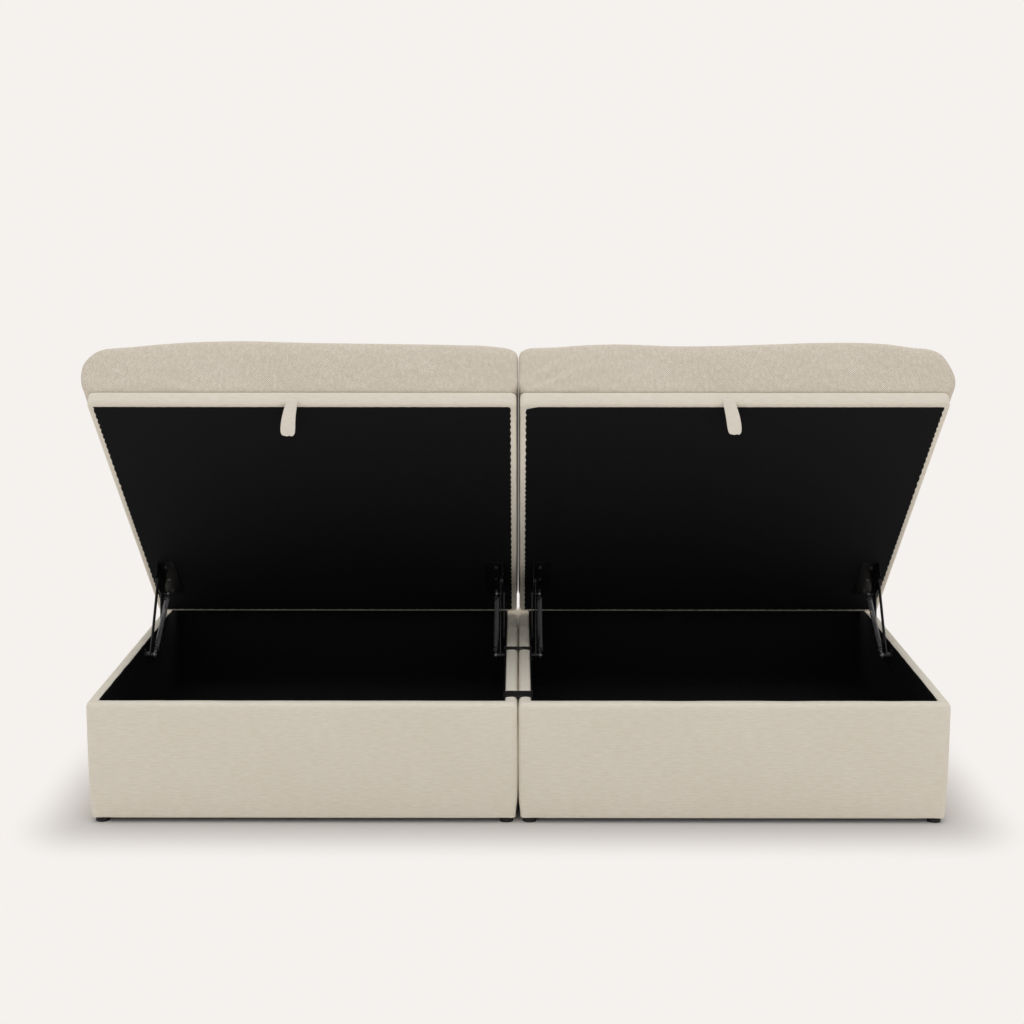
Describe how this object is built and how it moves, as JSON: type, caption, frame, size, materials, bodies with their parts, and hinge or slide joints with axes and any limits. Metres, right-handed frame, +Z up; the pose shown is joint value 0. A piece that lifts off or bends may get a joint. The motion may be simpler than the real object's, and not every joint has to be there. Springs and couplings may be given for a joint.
{
  "type": "storage sofa",
  "caption": "Armless, backless modular storage sofa: upholstered bases with thick seat cushions on lids that lift on linkages over lined storage compartments.",
  "frame": {"origin": "on the floor, at the middle of the sofa's footprint", "axes": "+X along the sofa's width to its right as seen from the front, +Y to the back, +Z up"},
  "size_m": [1.916, 0.95, 1.027],
  "materials": {
    "base_fabric": "cream slubbed weave",
    "seat_fabric": "cream basket weave",
    "black_lining": "matt spunbond",
    "foam": "open-cell foam",
    "frame_board": "raw chipboard",
    "frame_timber": "planed softwood",
    "foot_plastic": "matt",
    "black_steel": "satin black",
    "spring_steel": "oiled",
    "zinc_screws": "zinc plated"
  },
  "bodies": {
    "bases": {"left_base_end_panels": "frame_board", "left_base_side_panels": "frame_board", "left_base_floor_panel": "frame_board", "left_base_floor_bearers": "frame_timber", "left_base_dust_cover": "black_lining", "left_base_cover": "base_fabric", "left_storage_lining": "black_lining", "left_glide_feet": "foot_plastic", "left_outer_base_bracket": "black_steel", "left_inner_base_bracket": "black_steel", "left_base_bracket_screws": "zinc_screws", "right_base_end_panels": "frame_board", "right_base_side_panels": "frame_board", "right_base_floor_panel": "frame_board", "right_base_floor_bearers": "frame_timber", "right_base_dust_cover": "black_lining", "right_base_cover": "base_fabric", "right_storage_lining": "black_lining", "right_glide_feet": "foot_plastic", "right_outer_base_bracket": "black_steel", "right_inner_base_bracket": "black_steel", "right_base_bracket_screws": "zinc_screws", "joining_clip_front": "black_steel", "joining_clip_rear": "black_steel"},
    "left_lid": {"left_lid_cross_rails": "frame_timber", "left_lid_side_rails": "frame_timber", "left_lid_deck": "frame_board", "left_lid_border_cover": "base_fabric", "left_lid_underlining": "black_lining", "left_seat_foam": "foam", "left_seat_cover": "seat_fabric", "left_outer_lid_bracket": "black_steel", "left_inner_lid_bracket": "black_steel", "left_lid_bracket_screws": "zinc_screws"},
    "left_tab": {"left_pull_tab": "base_fabric"},
    "left_front_arms": {"left_outer_front_arm": "black_steel", "left_inner_front_arm": "black_steel"},
    "left_rear_arms": {"left_outer_rear_arm": "black_steel", "left_inner_rear_arm": "black_steel"},
    "left_springs": {"left_outer_spring": "spring_steel", "left_inner_spring": "spring_steel"},
    "left_spring_tops": {"left_spring_top_hooks": "spring_steel"},
    "right_lid": {"right_lid_cross_rails": "frame_timber", "right_lid_side_rails": "frame_timber", "right_lid_deck": "frame_board", "right_lid_border_cover": "base_fabric", "right_lid_underlining": "black_lining", "right_seat_foam": "foam", "right_seat_cover": "seat_fabric", "right_outer_lid_bracket": "black_steel", "right_inner_lid_bracket": "black_steel", "right_lid_bracket_screws": "zinc_screws"},
    "right_tab": {"right_pull_tab": "base_fabric"},
    "right_front_arms": {"right_outer_front_arm": "black_steel", "right_inner_front_arm": "black_steel"},
    "right_rear_arms": {"right_outer_rear_arm": "black_steel", "right_inner_rear_arm": "black_steel"},
    "right_springs": {"right_outer_spring": "spring_steel", "right_inner_spring": "spring_steel"},
    "right_spring_tops": {"right_spring_top_hooks": "spring_steel"}
  },
  "joints": [
    {"name": "left_lift", "type": "hinge", "parent": "bases", "child": "left_rear_arms", "pos_m": [-0.471, 0.205, 0.25183], "axis": [-1, 0, 0], "range_deg": [0, 88.72], "stiffness_Nm_per_rad": 20, "springref_deg": -88.81},
    {"name": "left_lid_turn", "type": "hinge", "parent": "left_rear_arms", "child": "left_lid", "pos_m": [-0.471, 0.21954, 0.35913], "axis": [1, 0, 0], "range_deg": [0, 130.47]},
    {"name": "left_front_arm_swing", "type": "hinge", "parent": "bases", "child": "left_front_arms", "pos_m": [-0.471, 0.027, 0.2489], "axis": [-1, 0, 0], "range_deg": [0, 58.46]},
    {"name": "left_spring_swing", "type": "hinge", "parent": "bases", "child": "left_springs", "pos_m": [-0.471, 0.027, 0.2489], "axis": [-1, 0, 0], "range_deg": [0, 31.64]},
    {"name": "left_spring_stretch", "type": "slide", "parent": "left_springs", "child": "left_spring_tops", "axis": [0, 0.8678, 0.4969], "range_m": [0, 0.06394], "deforming": ["left_outer_spring", "left_inner_spring"]},
    {"name": "left_tab_hang", "type": "hinge", "parent": "left_lid", "child": "left_tab", "pos_m": [-0.471, -0.34782, 0.91752], "axis": [-1, 0, 0], "range_deg": [0, 41.76]},
    {"name": "right_lift", "type": "hinge", "parent": "bases", "child": "right_rear_arms", "pos_m": [0.471, 0.205, 0.25183], "axis": [-1, 0, 0], "range_deg": [0, 88.72], "stiffness_Nm_per_rad": 20, "springref_deg": -88.81},
    {"name": "right_lid_turn", "type": "hinge", "parent": "right_rear_arms", "child": "right_lid", "pos_m": [0.471, 0.21954, 0.35913], "axis": [1, 0, 0], "range_deg": [0, 130.47]},
    {"name": "right_front_arm_swing", "type": "hinge", "parent": "bases", "child": "right_front_arms", "pos_m": [0.471, 0.027, 0.2489], "axis": [-1, 0, 0], "range_deg": [0, 58.46]},
    {"name": "right_spring_swing", "type": "hinge", "parent": "bases", "child": "right_springs", "pos_m": [0.471, 0.027, 0.2489], "axis": [-1, 0, 0], "range_deg": [0, 31.64]},
    {"name": "right_spring_stretch", "type": "slide", "parent": "right_springs", "child": "right_spring_tops", "axis": [0, 0.8678, 0.4969], "range_m": [0, 0.06394], "deforming": ["right_outer_spring", "right_inner_spring"]},
    {"name": "right_tab_hang", "type": "hinge", "parent": "right_lid", "child": "right_tab", "pos_m": [0.471, -0.34782, 0.91752], "axis": [-1, 0, 0], "range_deg": [0, 41.76]}
  ],
  "couplings": [
    {"joint": "left_lid_turn", "follows": "left_lift", "ratio": 1.4706},
    {"joint": "left_front_arm_swing", "follows": "left_lift", "ratio": 0.65888},
    {"joint": "left_spring_swing", "follows": "left_lift", "ratio": 0.35661},
    {"joint": "left_spring_stretch", "follows": "left_lift", "m_per_rad": 0.041258},
    {"joint": "left_tab_hang", "follows": "left_lift", "ratio": 0.47059},
    {"joint": "right_lid_turn", "follows": "right_lift", "ratio": 1.4706},
    {"joint": "right_front_arm_swing", "follows": "right_lift", "ratio": 0.65888},
    {"joint": "right_spring_swing", "follows": "right_lift", "ratio": 0.35661},
    {"joint": "right_spring_stretch", "follows": "right_lift", "m_per_rad": 0.041258},
    {"joint": "right_tab_hang", "follows": "right_lift", "ratio": 0.47059}
  ]
}
